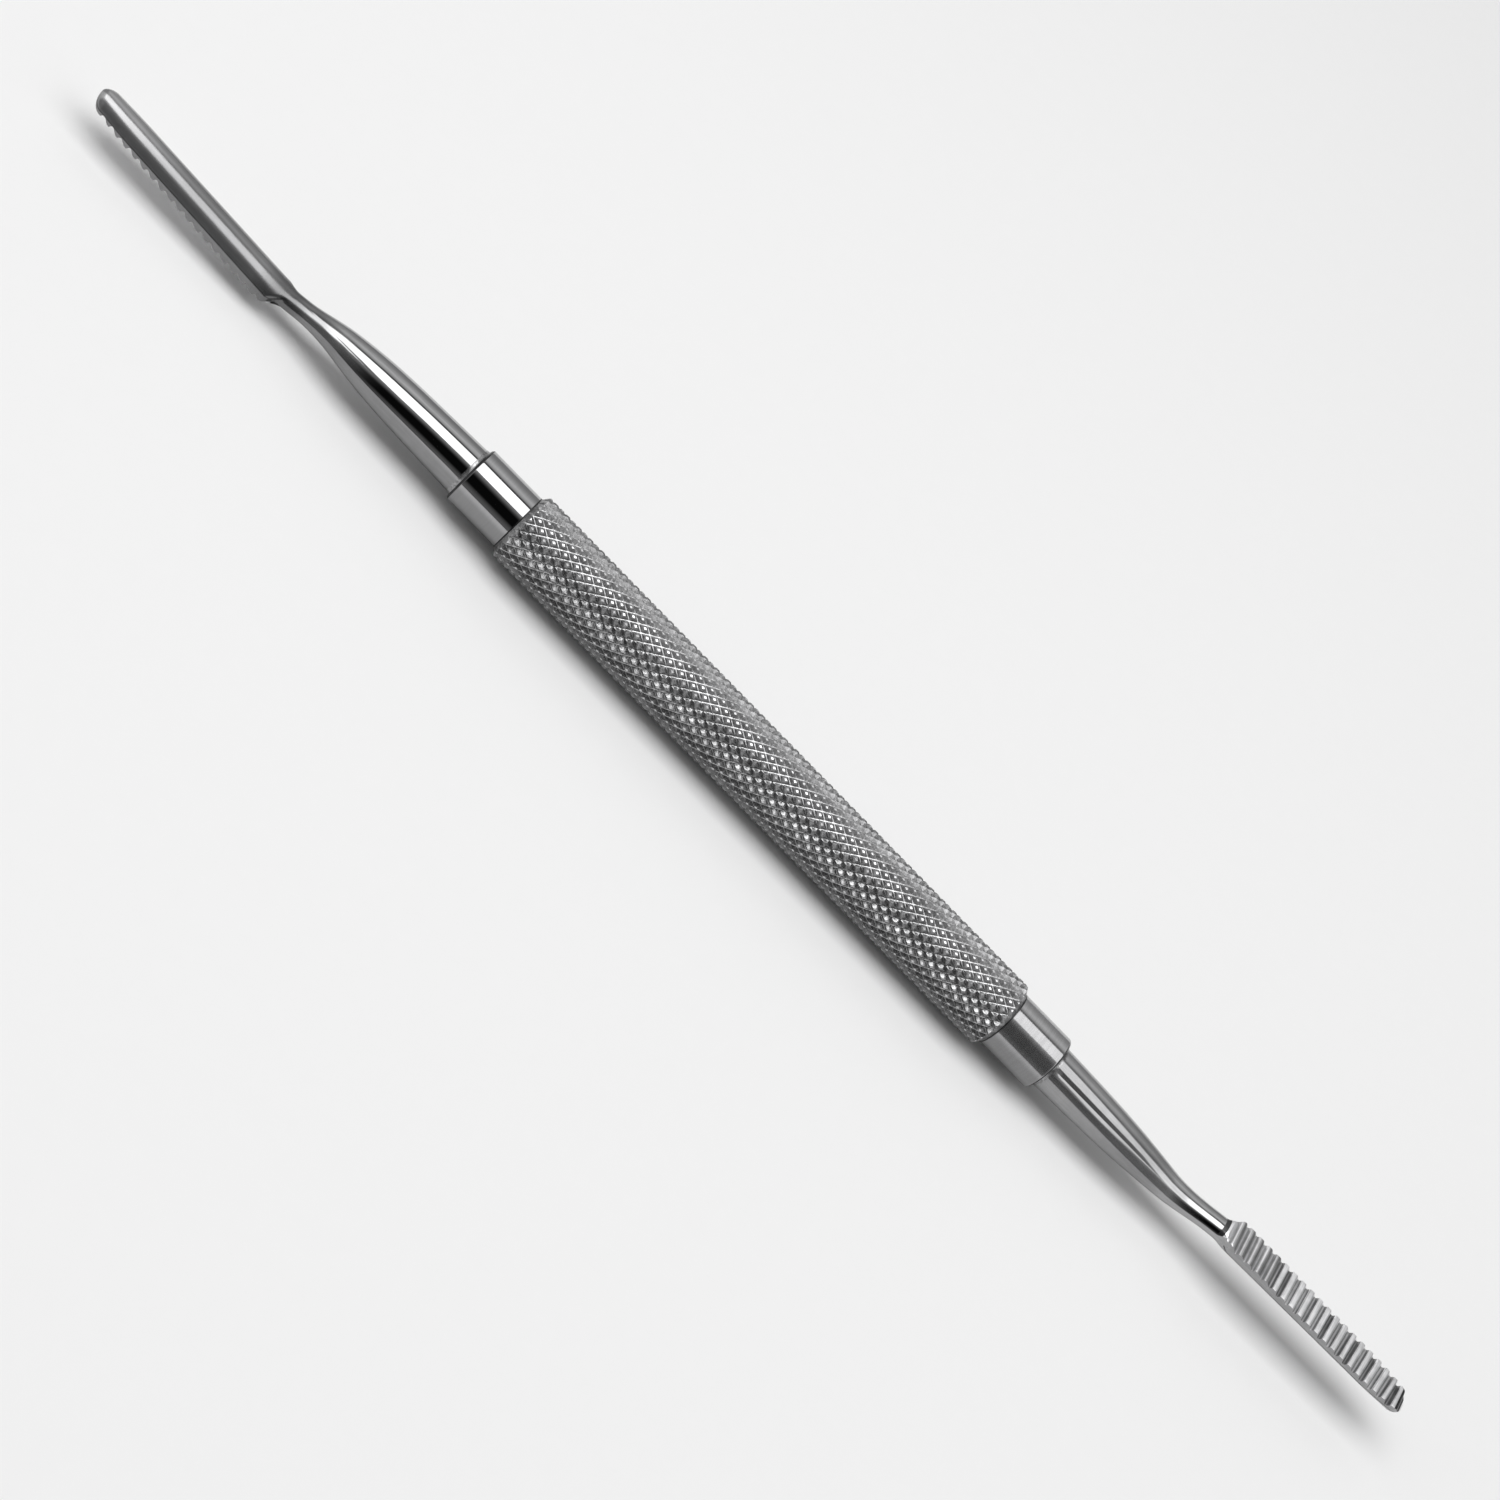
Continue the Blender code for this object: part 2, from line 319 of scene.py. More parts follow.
@dataclass(frozen=True)
class Flute:
    """Shallow hollow that hand polishing left along a shank.

    Its turn is the angle of its middle above the level of the axis, on the -Y side.
    """

    axis_height: float
    start: float
    end: float
    depth_mm: float
    fade_in: float
    fade_out: float
    turn: float = math.radians(47.0)
    half_turn: float = math.radians(10.5)

    def rise(self, sheet: ShaderSheet, place: Signal) -> Signal:
        """Height of the surface in millimetres, 0 away from the hollow.

        Args:
            sheet: The material's node sheet.
            place: Position on the piece.

        Returns:
            The height.
        """
        across = sheet.axis(place, "Y")
        up = sheet.axis(place, "Z") - self.axis_height
        off = (up.turn(across * -1.0) - self.turn).size()
        hollow = 1.0 - off.span(0.0, self.half_turn, smooth=False)
        along = sheet.axis(place, "X")
        begun = along.span(self.start, self.start + self.fade_in)
        over = along.span(self.end - self.fade_out, self.end)
        return hollow * begun * (1.0 - over) * -self.depth_mm


@dataclass(frozen=True)
class SteelFinish:
    """Bare stainless steel with a polish that changes along the piece.

    Each station holds a place along X, the roughness, the polish and the tone there.
    """

    name: str
    dark: float
    light: float
    stations: tuple[Station, ...]
    grain: Grain
    grain_per_mm: float
    grain_mm: float
    mottle: float = 0.04
    flute: Flute | None = None
    under_shade: UnderShade | None = None
    clouds_per_mm: float = 0.9
    lines_share: float = 0.6
    pick_low: float = 0.35
    pick_high: float = 0.65

    def material(self) -> bpy.types.Material:
        """Builds the finish.

        Returns:
            The material.
        """
        material, sheet = new_material(self.name)
        place = sheet.place()
        along = sheet.axis(place, "X")
        lines = sheet.noise(place, self.grain, self.grain_per_mm)
        clouds = sheet.noise(place, Grain.SPECKLE, self.clouds_per_mm, FINE_OCTAVES)
        mixed = lines * self.lines_share + clouds * (1.0 - self.lines_share)
        pick = mixed.span(self.pick_low, self.pick_high)
        rough, polish, tone = (
            sheet.profile(along, [(station[0], station[value]) for station in self.stations])
            for value in (1, 2, 3)
        )
        level = (pick * (self.light - self.dark) + self.dark) * tone
        # Painted shade: the colour grows darker towards the bottom.
        if self.under_shade:
            level = level * self.under_shade.share(sheet, place)
        rough = rough + (clouds + lines - 1.0) * self.mottle
        height = lines * self.grain_mm
        if self.flute:
            height = height + self.flute.rise(sheet, place)
        sheet.surface({
            "Base Color": sheet.grey(level),
            "Metallic": polish,
            "Roughness": rough,
            "Normal": sheet.bump(height, MM),
        })
        return material


def even(roughness: float, polish: float) -> tuple[Station, ...]:
    """Stations of a finish that stays the same along the whole file."""
    return tuple((x, roughness, polish, 1.0) for x in (-BEYOND_TIPS, BEYOND_TIPS))


@dataclass(frozen=True)
class KnurlFinish:
    """Knurled steel with a grain, and painted shade that makes it darker in its grooves than on its points.
    """

    name: str
    dark: float
    light: float
    roughness: float
    groove_radius: float
    point_radius: float
    axis_height: float
    groove_shade_share: float = 0.25
    # Painted shade that darkens the low side of the knurl.
    under_shade: UnderShade = UnderShade(tone=0.76, low=4.2 * MM, high=5.4 * MM)
    grain_mm: float = 0.012
    metallic: float = 0.94
    speckle_per_mm: float = 8.0
    clouds_per_mm: float = 0.5
    speckle_share: float = 0.73
    pick_low: float = 0.30
    pick_high: float = 0.70
    roughness_spread: float = 0.20

    def material(self) -> bpy.types.Material:
        """Builds the finish.

        Returns:
            The material.
        """
        material, sheet = new_material(self.name)
        place = sheet.place()
        across = sheet.axis(place, "Y")
        height = sheet.axis(place, "Z") - self.axis_height
        radius = (across * across + height * height).root()
        # Painted shade: the colour darkens from the points down into the grooves.
        raised = radius.span(self.groove_radius, self.point_radius, smooth=False)
        speckle = sheet.noise(place, Grain.SPECKLE, self.speckle_per_mm, FINE_OCTAVES)
        clouds = sheet.noise(place, Grain.SPECKLE, self.clouds_per_mm)
        fine = speckle.span(self.pick_low, self.pick_high)
        coarse = clouds.span(self.pick_low, self.pick_high)
        grain = fine * self.speckle_share + coarse * (1.0 - self.speckle_share)
        pick = raised * self.groove_shade_share + grain * (1.0 - self.groove_shade_share)
        level = (pick * (self.light - self.dark) + self.dark) * self.under_shade.share(sheet, place)
        sheet.surface({
            "Base Color": sheet.grey(level),
            "Metallic": self.metallic,
            "Roughness": self.roughness + (speckle - 0.5) * self.roughness_spread,
            "Normal": sheet.bump(speckle, self.grain_mm * MM),
        })
        return material


@dataclass
class MeshPiece:
    """A piece's mesh while it is being built."""

    name: str
    bm: bmesh.types.BMesh = field(default_factory=bmesh.new)

    def ring(self, points: Sequence[Point3]) -> list[bmesh.types.BMVert]:
        """Adds a ring of vertices."""
        return [self.bm.verts.new(point) for point in points]

    def round_ring(
        self, x: float, radius: float, axis_height: float, columns: int
    ) -> list[bmesh.types.BMVert]:
        """Adds a ring round the handle's axis.

        Args:
            x: Its place along the handle.
            radius: Its radius.
            axis_height: Height of the axis above the table.
            columns: Number of its vertices.

        Returns:
            Its vertices.
        """
        points = []
        for column in range(columns):
            angle = 2 * math.pi * column / columns
            points.append((x, radius * math.cos(angle), axis_height + radius * math.sin(angle)))
        return self.ring(points)

    def skin(self, rings: Sequence[Sequence[bmesh.types.BMVert]]) -> None:
        """Joins each ring to the next with quads.

        Args:
            rings: Rings with the same number of vertices, in order.
        """
        for ring, following in zip(rings, rings[1:]):
            for i in range(len(ring)):
                k = (i + 1) % len(ring)
                self.bm.faces.new((ring[i], ring[k], following[k], following[i]))

    def finish(
        self,
        materials: Sequence[bpy.types.Material],
        slot: str,
        replaces: str | None,
        sharp_degrees: float = 30.0,
        soft_skin: int | None = None,
    ) -> bpy.types.Object:
        """Makes the object, shades it smooth and lets it ride on the file.

        Args:
            materials: Its finishes; faces already carry their numbers.
            slot: The record's material slot; not used.
            replaces: The CAD node that it stands for, if any.
            sharp_degrees: Edges steeper than this stay sharp.
            soft_skin: Number of the finish whose faces run softly into each other.

        Returns:
            The object.
        """
        bmesh.ops.recalc_face_normals(self.bm, faces=self.bm.faces)
        self.bm.edges.index_update()
        soft = [
            edge.index for edge in self.bm.edges
            if all(face.material_index == soft_skin for face in edge.link_faces)
        ]
        mesh = bpy.data.meshes.new(self.name)
        self.bm.to_mesh(mesh)
        self.bm.free()
        mesh.shade_smooth()
        mesh.set_sharp_from_angle(angle=math.radians(sharp_degrees))
        for index in soft:
            mesh.edges[index].use_edge_sharp = False
        for material in materials:
            mesh.materials.append(material)
        piece = bpy.data.objects.new(self.name, mesh)
        bpy.context.collection.objects.link(piece)
        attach(piece, "root")
        if replaces:
            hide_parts(replaces)
        LOG.info("%s: %d faces", self.name, len(mesh.polygons))
        return piece


# Painted shade that darkens the low side of the collars and of the left end.
COLLAR_UNDER_SHADE = UnderShade(tone=0.64, low=4.4 * MM, high=5.1 * MM)


class HandleSkin(enum.IntEnum):
    """Which finish a face of the handle carries."""

    GROUND = 0
    LEFT_COLLAR = 1
    RIGHT_COLLAR = 2
    LINE = 3
    POINT = 4
    CHAMFER = 5
    # Near-black strips of painted shade in the collar's corners.
    CORNER = 6
    # Knurl flanks in painted shade, and flanks on one side of each diamond with a painted highlight.
    SHADED_FLANK = 7
    LIT_FLANK = 8


class DiamondCell:
    """Numbers of the cells that one knurl diamond is divided into.

    Both counts run to the right, one down and one up as the camera sees them. Corner cells
    fold along a diagonal.
    """

    LINE_DOWN = (0, 1, 5, 6)
    EDGE_UP = (0, 4)
    POINT_CELL = (3, 2)
    # Cells that carry the painted highlight of the lit flanks.
    LIT_DOWN = 2
    LIT_UP = 3
    # Corner cells split between the painted highlight and the painted shade.
    LIT_AND_SHADED_CORNERS = ((2, 1), (4, 3))
    ONE_SHADE_CORNERS = ((2, 3), (4, 1))


@dataclass
class KnurledHandle:
    """Turned bar with a diamond knurl between two plain collars."""

    knurl_radius: float = 3.88 * MM
    knurl_length: float = 66.6 * MM
    knurl_pitch: float = 1.56 * MM
    knurl_depth: float = 0.30 * MM
    knurl_starts: int = 23
    knurl_chamfer: float = 0.50 * MM
    collar_radius: float = 3.21 * MM
    collar_length: float = 6.55 * MM
    collar_bevel: float = 0.35 * MM
    mouth_lip: float = 0.10 * MM
    point_share: float = 0.24
    groove_share: float = 0.10
    line_share: float = 0.055
    point_wear: float = 0.01 * MM
    upper_flank_share: float = 0.62
    corner_width: float = 0.14 * MM
    collar_columns: int = 120
    collar_overlap: float = 0.30 * MM
    mouth_steps: int = 12
    joint_gap: float = 0.05 * MM
    joint_edge: float = 0.02 * MM
    joint_depth: float = 0.60 * MM

    @property
    def columns(self) -> int:
        """Columns of points round the knurl."""
        return 2 * self.knurl_starts

    @property
    def axis_height(self) -> float:
        """Height of the handle's axis above the table."""
        return self.knurl_radius * math.cos(math.pi / self.columns)

    @property
    def half_length(self) -> float:
        """Distance from the handle's middle to a collar's mouth."""
        return self.knurl_length / 2 + self.collar_length

    def build(self, shank_radii: dict[int, float]) -> bpy.types.Object:
        """Builds the knurl and both collars as one piece.

        Args:
            shank_radii: Radius of the shank at each side, by -1 and +1.

        Returns:
            The piece.
        """
        piece = MeshPiece("knurled_handle")
        self._add_knurl(piece)
        for side in (-1, 1):
            self._add_collar(piece, side, shank_radii[side])
        return piece.finish(self._finishes(), "knurled_steel", "handle", soft_skin=HandleSkin.LINE)

    def _finishes(self) -> list[bpy.types.Material]:
        """Makes the handle's finishes.

        Returns:
            The materials in the order of HandleSkin.
        """
        knurl = {
            "groove_radius": self.knurl_radius - self.knurl_depth,
            "point_radius": self.knurl_radius,
            "axis_height": self.axis_height,
        }
        flank = {**knurl, "groove_radius": self.knurl_radius - self.upper_flank_share * self.knurl_depth}
        turned = {"grain": Grain.ROUND, "grain_per_mm": 6.0}
        finishes = {
            HandleSkin.GROUND: KnurlFinish(
                "knurl_ground_steel", dark=0.14, light=0.62, roughness=0.30, **knurl
            ),
            HandleSkin.LEFT_COLLAR: SteelFinish(
                "left_collar_steel", dark=0.39, light=0.41, stations=even(0.05, 1.0), **turned,
                grain_mm=0.0001, mottle=0.01, under_shade=COLLAR_UNDER_SHADE,
            ),
            HandleSkin.RIGHT_COLLAR: SteelFinish(
                "right_collar_steel", dark=0.355, light=0.40, stations=even(0.11, 0.86), **turned,
                grain_mm=0.0002, mottle=0.02, under_shade=COLLAR_UNDER_SHADE,
            ),
            # Painted highlight: the rounded groove lines take a lighter steel than the ground; their soft
            # shading is real shape.
            HandleSkin.LINE: KnurlFinish(
                "knurl_line_glint_steel", dark=0.28, light=0.92, roughness=0.22, **knurl
            ),
            # Painted highlight: the flat points take a lighter steel than the ground.
            HandleSkin.POINT: KnurlFinish(
                "knurl_point_glint_steel", dark=0.52, light=0.92, roughness=0.29, **knurl
            ),
            HandleSkin.CHAMFER: KnurlFinish(
                "knurl_chamfer_steel", dark=0.14, light=0.46, roughness=0.34, **knurl
            ),
            # Near-black steel as painted shade in the collar's corners.
            HandleSkin.CORNER: SteelFinish(
                "corner_steel", dark=0.03, light=0.06, stations=even(0.40, 0.90), **turned, grain_mm=0.002
            ),
            # Painted shade on the flanks that are not lit.
            HandleSkin.SHADED_FLANK: KnurlFinish(
                "knurl_shaded_flank_steel", dark=0.12, light=0.50, roughness=0.38, **knurl
            ),
            # Painted highlight on the flanks on one side of each diamond.
            HandleSkin.LIT_FLANK: KnurlFinish(
                "knurl_lit_flank_steel", dark=0.14, light=0.66, roughness=0.26, **flank, groove_shade_share=0.40,
                # Stronger painted shade on the low side of the lit flanks.
                under_shade=UnderShade(tone=0.44, low=4.4 * MM, high=5.5 * MM),
            ),
        }
        return [finishes[skin].material() for skin in HandleSkin]

    def _groove(self, share: float) -> float:
        """Depth share of a V groove at a share from a diamond's middle (0) to its edge (1)."""
        run = 1 - self.groove_share - self.point_share
        return min(max((abs(share) - self.point_share) / run, 0.0), 1.0)

    def _add_knurl(self, piece: MeshPiece) -> None:
        """Adds one truncated diamond for each point, cut off at the knurl's ends.

        Args:
            piece: The piece to add to.
        """
        knurled = self.knurl_length - 2 * self.knurl_chamfer
        rows = 2 * round(knurled / self.knurl_pitch)
        step_x = knurled / rows
        step_turn = 2 * math.pi / self.columns
        flat = bmesh.new()
        for row in range(-1, rows + 2):
            for column in range(self.columns):
                if (row + column) % 2 == 0:
                    x = -knurled / 2 + row * step_x
                    self._add_diamond(flat, (x, column * step_turn), (step_x, step_turn))
        for end in (-1, 1):
            for distance, clear in ((knurled / 2, False), (self.knurl_length / 2, True)):
                bmesh.ops.bisect_plane(
                    flat,
                    geom=flat.verts[:] + flat.edges[:] + flat.faces[:],
                    plane_co=(end * distance, 0, 0),
                    plane_no=(end, 0, 0),
                    clear_outer=clear,
                )
        for face in flat.faces:
            if abs(face.calc_center_median().x) > knurled / 2:
                face.material_index = HandleSkin.CHAMFER
        for vert in flat.verts:
            vert.co = self._wrap(vert.co)
        bmesh.ops.remove_doubles(flat, verts=flat.verts, dist=MERGE_DISTANCE)
        mesh = bpy.data.meshes.new("knurl_patch")
        flat.to_mesh(mesh)
        flat.free()
        piece.bm.from_mesh(mesh)
        bpy.data.meshes.remove(mesh)

    def _add_diamond(self, flat: bmesh.types.BMesh, centre: Point2, half: Point2) -> None:
        """Adds one diamond to the unrolled knurl.

        Args:
            flat: The unrolled knurl; z holds the depth share.
            centre: Middle as (x, turn).
            half: Half its length and half its turn.
        """
        edge = 1 - self.groove_share
        line = edge - self.line_share
        point = self.point_share
        grid = []
        for down in (-1.0, -edge, -line, -point, point, line, edge, 1.0):
            row = []
            for up in (-1.0, -edge, -point, point, edge, 1.0):
                x = centre[0] + (down + up) / 2 * half[0]
                turn = centre[1] + (down - up) / 2 * half[1]
                row.append(flat.verts.new((x, turn, max(self._groove(down), self._groove(up)))))
            grid.append(row)
        for i in range(len(grid) - 1):
            for k in range(len(grid[0]) - 1):
                cell = (grid[i][k], grid[i + 1][k], grid[i + 1][k + 1], grid[i][k + 1])
                for corners, skin in self._cell(i, k):
                    face = flat.faces.new([cell[corner] for corner in corners])
                    face.material_index = skin

    @staticmethod
    def _cell(down: int, up: int) -> list[tuple[tuple[int, ...], HandleSkin]]:
        """Divides one cell of a diamond into faces.

        Args:
            down: Number of the cell down the diamond, 0 to 6.
            up: Number of the cell up the diamond, 0 to 4.

        Returns:
            Corner numbers and finish of each face.
        """
        whole = (0, 1, 2, 3)
        if down in DiamondCell.LINE_DOWN:
            return [(whole, HandleSkin.LINE)]
        if up in DiamondCell.EDGE_UP:
            return [(whole, HandleSkin.GROUND)]
        if (down, up) == DiamondCell.POINT_CELL:
            return [(whole, HandleSkin.POINT)]
        if (down, up) in DiamondCell.LIT_AND_SHADED_CORNERS:
            return [((0, 1, 2), HandleSkin.SHADED_FLANK), ((0, 2, 3), HandleSkin.LIT_FLANK)]
        # Flanks on one side get the painted highlight, the rest painted shade.
        light = down == DiamondCell.LIT_DOWN or up == DiamondCell.LIT_UP
        skin = HandleSkin.LIT_FLANK if light else HandleSkin.SHADED_FLANK
        if (down, up) in DiamondCell.ONE_SHADE_CORNERS:
            return [((0, 1, 3), skin), ((1, 2, 3), skin)]
        return [(whole, skin)]

    def _wrap(self, spot: Vector) -> Point3:
        """Rolls the unrolled knurl round the bar.

        Args:
            spot: A spot as x, turn and depth share.

        Returns:
            Its place on the bar.
        """
        inner = self.knurl_length / 2 - self.knurl_chamfer
        cone = (abs(spot.x) - inner) / self.knurl_chamfer
        radius = self.knurl_radius - self.point_wear - self.knurl_depth * spot.z
        if cone > 0:
            radius = min(radius, blend(self.knurl_radius, self.collar_radius, cone))
        angle = -math.pi / 2 + spot.y + math.pi / self.columns
        return (spot.x, radius * math.cos(angle), self.axis_height + radius * math.sin(angle))

    def _add_collar(self, piece: MeshPiece, side: int, shank_radius: float) -> None:
        """Adds one collar with its rounded mouth.

        Args:
            piece: The piece to add to.
            side: -1 for the left collar, 1 for the right one.
            shank_radius: Radius of the shank that enters it.
        """
        corner = self.knurl_length / 2
        profile = [
            (corner - self.collar_overlap, self.collar_radius),
            (corner + self.corner_width, self.collar_radius),
            (self.half_length - self.collar_bevel - self.joint_edge, self.collar_radius),
        ]
        lip = shank_radius + self.mouth_lip
        for step in range(self.mouth_steps, -1, -1):
            angle = math.pi / 2 * step / self.mouth_steps
            profile.append((
                self.half_length - self.collar_bevel * (1 - math.cos(angle)),
                blend(lip, self.collar_radius, math.sin(angle)),
            ))
        bore = shank_radius + self.joint_gap
        profile.append((self.half_length - self.joint_edge, bore))
        profile.append((self.half_length - self.joint_depth, bore))
        before = len(piece.bm.faces)
        piece.skin([
            piece.round_ring(side * x, radius, self.axis_height, self.collar_columns)
            for x, radius in profile
        ])
        piece.bm.faces.ensure_lookup_table()
        collar = HandleSkin.LEFT_COLLAR if side < 0 else HandleSkin.RIGHT_COLLAR
        last = len(profile) - 2
        for number in range(before, len(piece.bm.faces)):
            strip = (number - before) // self.collar_columns
            # Painted shade: the strip at the knurl's joint, the inner part of the mouth's rounding and the
            # bore take near-black steel.
            in_corner_shade = strip == 0 or strip > last - self.mouth_steps
            piece.bm.faces[number].material_index = HandleSkin.CORNER if in_corner_shade else collar


# One filed groove as places across it in half widths, and its depth there as a share.
GROOVE_FORM: tuple[Point2, ...] = (
    (-1.10, 0.06), (-0.80, -0.10), (-0.15, -0.80), (0.15, -1.00), (0.42, -0.92), (0.68, -0.45),
    (0.85, 0.06),
)


class BladeSkin(enum.IntEnum):
    """Which finish a face of a file end carries."""

    BODY = 0
    LIT_LAND = 1
    WALL = 2
    FLOOR = 3
    CREASE = 4


@dataclass(frozen=True)
class Band:
    """Part of a measure over which a face carries a finish."""

    low: float
    high: float

    def holds(self, value: float) -> bool:
        """Whether a value lies inside."""
        return self.low < value < self.high


class PaintBand:
    """Where the finishes of a file end lie.

    The ramp and the shoulder are measured in shares of their lengths, a groove in half widths
    from its middle, the sides in shares of the half width and the nose in metres from the tip.
    """

    # Crease bands carry near-black steel as painted shade: the start of the ramp, the step before the nose,
    # the left shoulder and the edges of the back.
    RAMP_CREASE_END = 0.32
    RAMP_LAND_END = 0.68
    SIDES_START = 0.45
    BACK_CREASE_START = 0.5
    NOSE_CREASE = Band(0.30 * MM, 1.15 * MM)
    GROOVE_FLOOR = Band(-0.22, 0.50)
    GROOVE_WALL = Band(-0.43, 0.74)
    ROOT_WALL = Band(-1.55, -0.45)
    ROOT_LAND = Band(0.75, 1.30)
    SHOULDER_CREASE = Band(0.35, 0.62)


@dataclass
class FileEnd:
    """Shank, neck and toothed blade of one end, in a frame where the teeth face up at +X.

    Places on the shank count from the collar's mouth, those on the blade from its root, and
    heights from the handle's axis. Names in _root and _tip hold a size at the blade's two ends.
    """

    name: str
    node: str
    slot: str
    side: int
    shank_radius: float
    shank_fullness: float
    neck_radius: float
    crest_height: float
    blade_slope: float
    wall_root: float
    wall_tip: float
    blade_length: float
    face_bow: float
    ramp_length: float
    ramp_end: float
    tip_taper: float
    nose_step: float
    tooth_pitch: float
    first_groove: float
    groove_depth_tip: float
    groove_width_tip: float
    groove_skew_root: float
    groove_skew_tip: float
    finishes: tuple[SteelFinish, ...]
    mouth: float
    axis_height: float
    shank_length: float = 21.6 * MM
    shank_straight_share: float = 0.38
    neck_flattening: float = 0.12
    neck_length: float = 3.55 * MM
    crank_start: float = 16.6 * MM
    crank_length: float = 9.0 * MM
    shoulder_length: float = 1.2 * MM
    shoulder_lead: float = 1.3 * MM
    half_width_root: float = 1.87 * MM
    half_width_tip: float = 1.74 * MM
    back_rise: float = 1.12 * MM
    tip_taper_length: float = 5.0 * MM
    nose_length: float = 1.25 * MM
    nose_depth: float = 0.95 * MM
    nose_step_setback: float = 0.86 * MM
    nose_step_length: float = 0.40 * MM
    groove_depth_root: float = 0.34 * MM
    groove_width_root: float = 0.74 * MM
    groove_unevenness: float = 0.12
    groove_uneven_turn: float = 2.4
    last_groove_margin: float = 1.7 * MM
    streaked_length: float = 5.0 * MM
    deepest_floor: float = 1.07
    edge_round: float = 0.05 * MM
    edge_fullness: float = 0.96
    edge_break: float = 0.03 * MM
    seat_depth: float = 0.50 * MM
    shoulder_margin: float = 0.40 * MM
    lean_start: float = 2.0 * MM
    lean_end: float = 2.4 * MM
    lean_fade: float = 1.6 * MM
    taper_power: float = 1.5
    top_turn: float = math.radians(65)
    wall_turn: float = math.radians(80)
    top_columns: int = 14
    wall_columns: int = 3
    back_columns: int = 40
    shank_rings: int = 70
    nose_rings: int = 16
    row_step: float = 0.06 * MM
    sharp_degrees: float = 38.0

    @property
    def root(self) -> float:
        """Distance from the mouth to the blade's root."""
        return self.shank_length + self.neck_length

    def build(self) -> bpy.types.Object:
        """Builds the whole end as one closed mesh.

        Returns:
            The piece.
        """
        piece = MeshPiece(self.name)
        reaches = [-self.seat_depth]
        rings = [piece.ring(self._place(reaches[0], self._shank(0.0), 1.0))]
        for reach in self._reaches():
            reaches.append(reach)
            rings.append(piece.ring(self._outline(reach, 1.0)))
        tip = self.root + self.blade_length
        for step in range(1, self.nose_rings):
            angle = math.pi / 2 * step / self.nose_rings
            reaches.append(tip - self.nose_length * (1 - math.sin(angle)))
            rings.append(piece.ring(self._outline(reaches[-1], math.cos(angle))))
        piece.skin(rings)
        self._paint(piece, reaches)
        piece.bm.faces.new(rings[0])
        piece.bm.faces.new(rings[-1])
        materials = [finish.material() for finish in self.finishes]
        return piece.finish(materials, self.slot, self.node, self.sharp_degrees)

    def _reaches(self) -> list[float]:
        """Places the rings up to the nose, wide apart on the shank and close on the blade.

        Returns:
            Their distances from the mouth.
        """
        shoulder = self.root - self.shoulder_length - self.shoulder_lead - self.shoulder_margin
        nose = self.root + self.blade_length - self.nose_length
        shank = [shoulder * i / self.shank_rings for i in range(self.shank_rings)]
        count = math.ceil((nose - shoulder) / self.row_step)
        return shank + [blend(shoulder, nose, i / count) for i in range(count + 1)]

    def _blade_share(self, along: float) -> float:
        """Share of the blade's length, held between 0 and 1."""
        return min(max(along / self.blade_length, 0.0), 1.0)

    def _ramp(self, along: float) -> float:
        """Share of the way up the ramp before the teeth, not held between 0 and 1."""
        return (along - self.ramp_end) / self.ramp_length + 1

    def _shoulder(self, along: float, side: float) -> float:
        """Share of the way over the shoulder, which starts earlier in its middle.

        Args:
            along: Distance from the blade's root.
            side: Place across the blade as a share of its half width.

        Returns:
            The share, not held between 0 and 1.
        """
        lead = self.shoulder_lead * max(1 - side * side, 0.0)
        return (along + self.shoulder_length + lead) / self.shoulder_length

    def _face_rise(self, along: float) -> float:
        """How far the bowed toothed face has risen towards the back."""
        return self.face_bow * (max(along, 0.0) / self.blade_length) ** 2

    def _crest(self, along: float) -> float:
        """Height of the tooth crests above the handle's axis."""
        return self.crest_height + self.blade_slope * along - self._face_rise(along)

    def _skew(self, along: float) -> float:
        """Sideways lean of the grooves, which fades out before the tip.

        Args:
            along: Distance from the blade's root.

        Returns:
            Distance along the blade for each unit across it.
        """
        fade = 1 - ease((along - self.blade_length + self.lean_end) / self.lean_fade)
        return blend(self.groove_skew_root, self.groove_skew_tip, self._blade_share(along)) * fade

    def _paint(self, piece: MeshPiece, reaches: Sequence[float]) -> None:
        """Gives every face between the rings its finish.

        Args:
            piece: The piece, which holds nothing but the faces between its rings.
            reaches: Distance of each ring from the mouth.
        """
        faces = iter(piece.bm.faces)
        for near, far in zip(reaches, reaches[1:]):
            along = (near + far) / 2 - self.root
            outline = self._blade(along + self.root)
            for column in range(len(outline)):
                next(faces).material_index = self._skin(along, column, outline[column][0])

    def _skin(self, along: float, column: int, y: float) -> BladeSkin:
        """Finish of one face.

        Args:
            along: Distance from the blade's root.
            column: Number of the face round the outline.
            y: Place of the face across the blade.

        Returns:
            The finish.
        """
        if column < self.top_columns:
            return self._face_skin(along)
        side = abs(y) / self.half_width_root
        shoulder = self._shoulder(along, side)
        first_back = self.top_columns + self.wall_columns
        last_back = first_back + self.back_columns - 1
        on_side = side > PaintBand.SIDES_START
        # Painted shade along the left shoulder and along the back's edges.
        if self.side < 0 and on_side and PaintBand.SHOULDER_CREASE.holds(shoulder):
            return BladeSkin.CREASE
        if shoulder > PaintBand.BACK_CREASE_START and column in (first_back, last_back):
            return BladeSkin.CREASE
        return BladeSkin.BODY

    def _face_skin(self, along: float) -> BladeSkin:
        """Finish of the toothed face.

        Args:
            along: Distance from the blade's root.

        Returns:
            The finish.
        """
        ramp = self._ramp(along)
        to_tip = self.blade_length - along
        if ramp < 0:
            return BladeSkin.BODY
